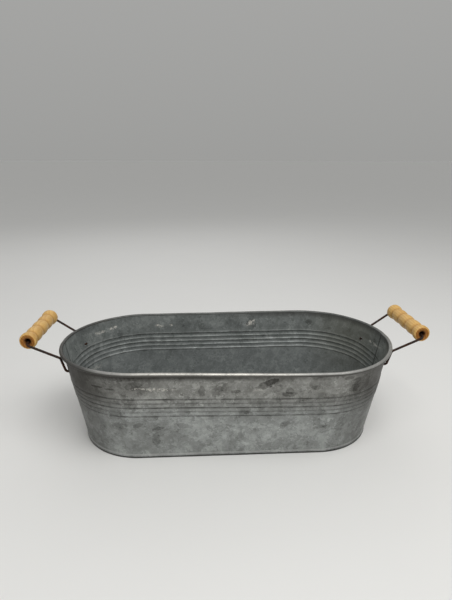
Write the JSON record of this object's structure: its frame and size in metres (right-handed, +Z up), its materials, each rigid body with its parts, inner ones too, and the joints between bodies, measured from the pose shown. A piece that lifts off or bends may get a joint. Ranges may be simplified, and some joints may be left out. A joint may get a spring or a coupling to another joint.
{
  "type": "oblong galvanized tub",
  "caption": "Oblong galvanized sheet tub with straight flared sides, round ends, a ribbed band, a rolled rim and a swinging wire bail with a turned wooden grip at each end.",
  "frame": {"origin": "middle of the base, on the surface that the tub stands on", "axes": "+X along the tub towards the right grip, +Y to the back, +Z up"},
  "size_m": [0.4908, 0.203, 0.149],
  "materials": {
    "galvanized": "weathered zinc spangle",
    "rim_steel": "drawn wire",
    "bail_wire": "dark oxidised",
    "grip_wood": "clear satin"
  },
  "bodies": {
    "tub": {"front_wall": "galvanized", "back_wall": "galvanized", "bottom_pan": "galvanized", "rim_wire": "rim_steel"},
    "left_bail": {"left_bail": "bail_wire"},
    "right_bail": {"right_bail": "bail_wire"},
    "left_grip": {"left_grip": "grip_wood"},
    "right_grip": {"right_grip": "grip_wood"}
  },
  "joints": [
    {"name": "left_bail_swing", "type": "hinge", "parent": "tub", "child": "left_bail", "pos_m": [-0.19325, 0, 0.10244], "axis": [0, -1, 0], "range_deg": [0, 80]},
    {"name": "right_bail_swing", "type": "hinge", "parent": "tub", "child": "right_bail", "pos_m": [0.19325, 0, 0.10244], "axis": [0, 1, 0], "range_deg": [0, 80]},
    {"name": "left_grip_spin", "type": "hinge", "parent": "left_bail", "child": "left_grip", "pos_m": [-0.2355, 0, 0.139], "axis": [0, 1, 0], "continuous": true},
    {"name": "right_grip_spin", "type": "hinge", "parent": "right_bail", "child": "right_grip", "pos_m": [0.2355, 0, 0.139], "axis": [0, 1, 0], "continuous": true}
  ]
}
